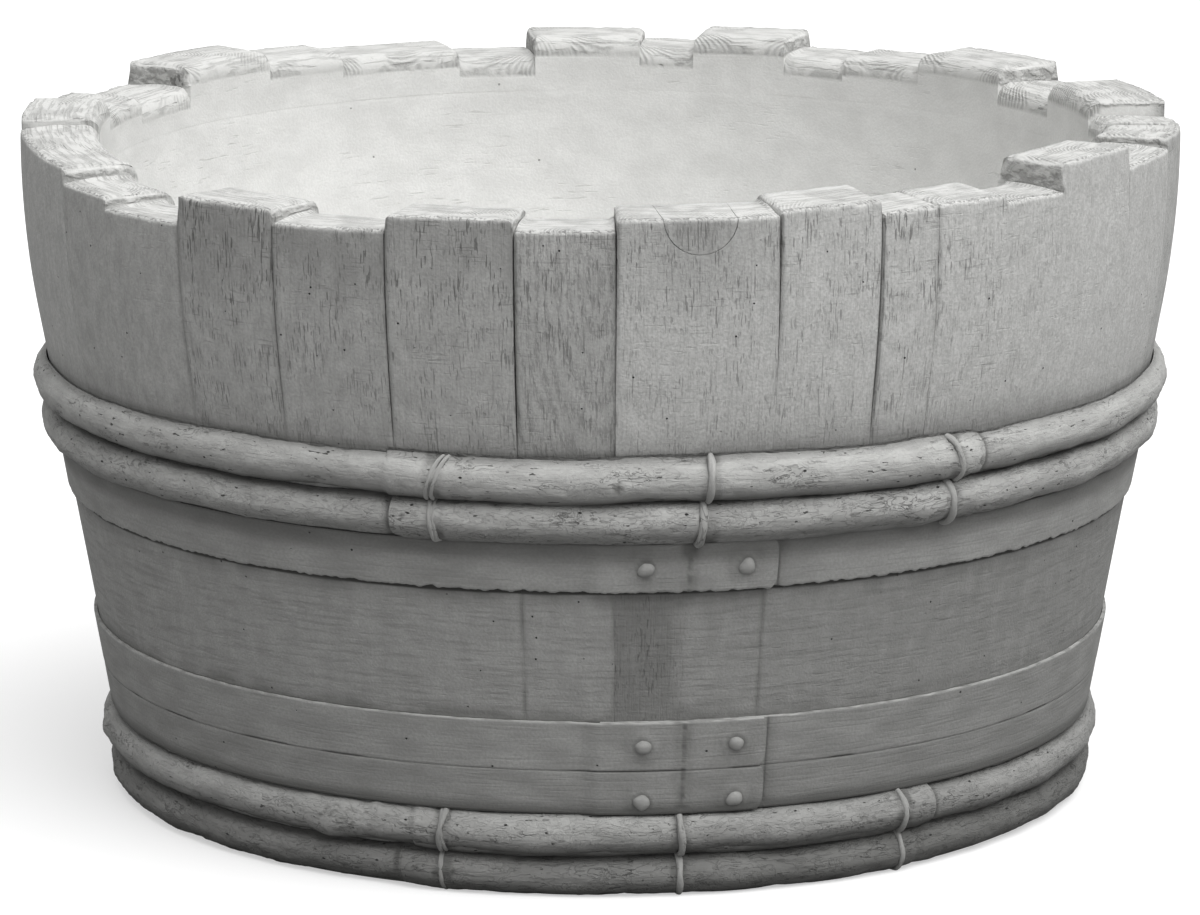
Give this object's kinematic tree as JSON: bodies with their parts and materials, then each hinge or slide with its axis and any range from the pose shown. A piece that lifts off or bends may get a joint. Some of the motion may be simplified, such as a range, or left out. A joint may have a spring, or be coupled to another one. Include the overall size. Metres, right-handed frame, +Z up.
{
  "type": "barrel planter",
  "caption": "Round floor planter in the form of a half barrel, with uneven stave tops, round hoops tied in pairs, riveted flat bands and a drained hollow for soil.",
  "frame": {"origin": "middle of the foot, on the ground", "axes": "+Z up out of the mouth, -Y towards the front with the band laps, +X to the right seen from the front"},
  "size_m": [0.894, 0.894, 0.532],
  "materials": {
    "stave_stone": "matt pale grey cast stone with an impression of sawn wood grain",
    "hoop_stone": "matt grey cast stone with an impression of bark, knots and pits",
    "band_stone": "matt grey cast stone, nearly smooth, with chipped edges",
    "coat_stone": "light grey cast stone, smooth, with faint trowel marks",
    "floor_stone": "plain grey cast stone"
  },
  "bodies": {
    "root": {"band_lower": "band_stone", "band_middle": "band_stone", "band_rivets": "band_stone", "band_upper": "band_stone", "board_dowels": "floor_stone", "bung_plug": "stave_stone", "floor_board_1": "floor_stone", "floor_board_2": "floor_stone", "floor_board_3": "floor_stone", "floor_board_4": "floor_stone", "floor_board_5": "floor_stone", "hoop_1": "hoop_stone", "hoop_2": "hoop_stone", "hoop_3": "hoop_stone", "hoop_4": "hoop_stone", "inner_coat": "coat_stone", "lower_tie_1": "hoop_stone", "lower_tie_2": "hoop_stone", "lower_tie_3": "hoop_stone", "stave_01": "stave_stone", "stave_02": "stave_stone", "stave_03": "stave_stone", "stave_04": "stave_stone", "stave_05": "stave_stone", "stave_06": "stave_stone", "stave_07": "stave_stone", "stave_08": "stave_stone", "stave_09": "stave_stone", "stave_10": "stave_stone", "stave_11": "stave_stone", "stave_12": "stave_stone", "stave_13": "stave_stone", "stave_14": "stave_stone", "stave_15": "stave_stone", "stave_16": "stave_stone", "stave_17": "stave_stone", "stave_18": "stave_stone", "stave_19": "stave_stone", "stave_20": "stave_stone", "stave_21": "stave_stone", "stave_22": "stave_stone", "stave_23": "stave_stone", "stave_24": "stave_stone", "stave_25": "stave_stone", "stave_26": "stave_stone", "stave_27": "stave_stone", "stave_28": "stave_stone", "stave_29": "stave_stone", "stave_30": "stave_stone", "stave_31": "stave_stone", "upper_tie_1": "hoop_stone", "upper_tie_2": "hoop_stone", "upper_tie_3": "hoop_stone"}
  },
  "joints": []
}
